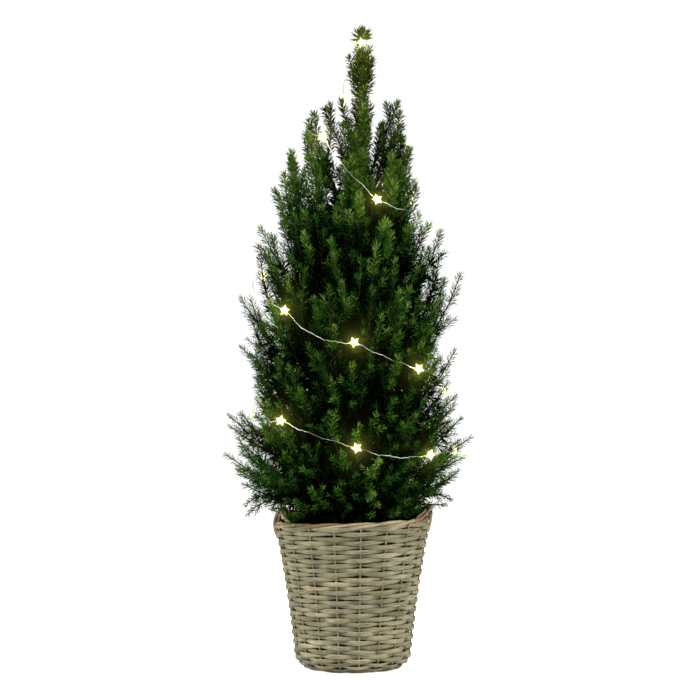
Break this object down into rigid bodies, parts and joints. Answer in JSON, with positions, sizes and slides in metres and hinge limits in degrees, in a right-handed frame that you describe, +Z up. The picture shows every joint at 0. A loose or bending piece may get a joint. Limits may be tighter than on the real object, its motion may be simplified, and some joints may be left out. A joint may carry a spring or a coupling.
{
  "type": "potted alberta spruce",
  "caption": "Narrow cone-shaped dwarf white spruce, needled from top to foot, growing in a round woven willow basket with a twisted border and two low ears.",
  "frame": {"origin": "middle of the basket's flat underside, on the surface that it stands on", "axes": "+Z up along the plant, +X towards the right-hand ear, -Y towards the side that is looked at"},
  "size_m": [0.3177, 0.3177, 0.8375],
  "materials": {
    "willow": "weathered split willow, matt",
    "border_willow": "round willow rods, slightly glossy",
    "compost": "moist dark crumb",
    "bark": "rough scaly bark",
    "needles": "short waxy green needles"
  },
  "bodies": {
    "root": {"basket": "willow", "border": "border_willow", "compost": "compost", "ear_left": "border_willow", "ear_right": "border_willow", "leader_needles": "needles", "lower_needles_back": "needles", "lower_needles_back_left": "needles", "lower_needles_back_right": "needles", "lower_needles_front": "needles", "lower_needles_front_left": "needles", "lower_needles_front_right": "needles", "lower_needles_left": "needles", "lower_needles_right": "needles", "middle_needles_back": "needles", "middle_needles_back_left": "needles", "middle_needles_back_right": "needles", "middle_needles_front": "needles", "middle_needles_front_left": "needles", "middle_needles_front_right": "needles", "middle_needles_left": "needles", "middle_needles_right": "needles", "skirt_needles_back": "needles", "skirt_needles_back_left": "needles", "skirt_needles_back_right": "needles", "skirt_needles_front": "needles", "skirt_needles_front_left": "needles", "skirt_needles_front_right": "needles", "skirt_needles_left": "needles", "skirt_needles_right": "needles", "spire_needles_back": "needles", "spire_needles_front": "needles", "spire_needles_left": "needles", "spire_needles_right": "needles", "trunk": "bark", "upper_needles_back": "needles", "upper_needles_back_left": "needles", "upper_needles_back_right": "needles", "upper_needles_front": "needles", "upper_needles_front_left": "needles", "upper_needles_front_right": "needles", "upper_needles_left": "needles", "upper_needles_right": "needles"}
  },
  "joints": []
}
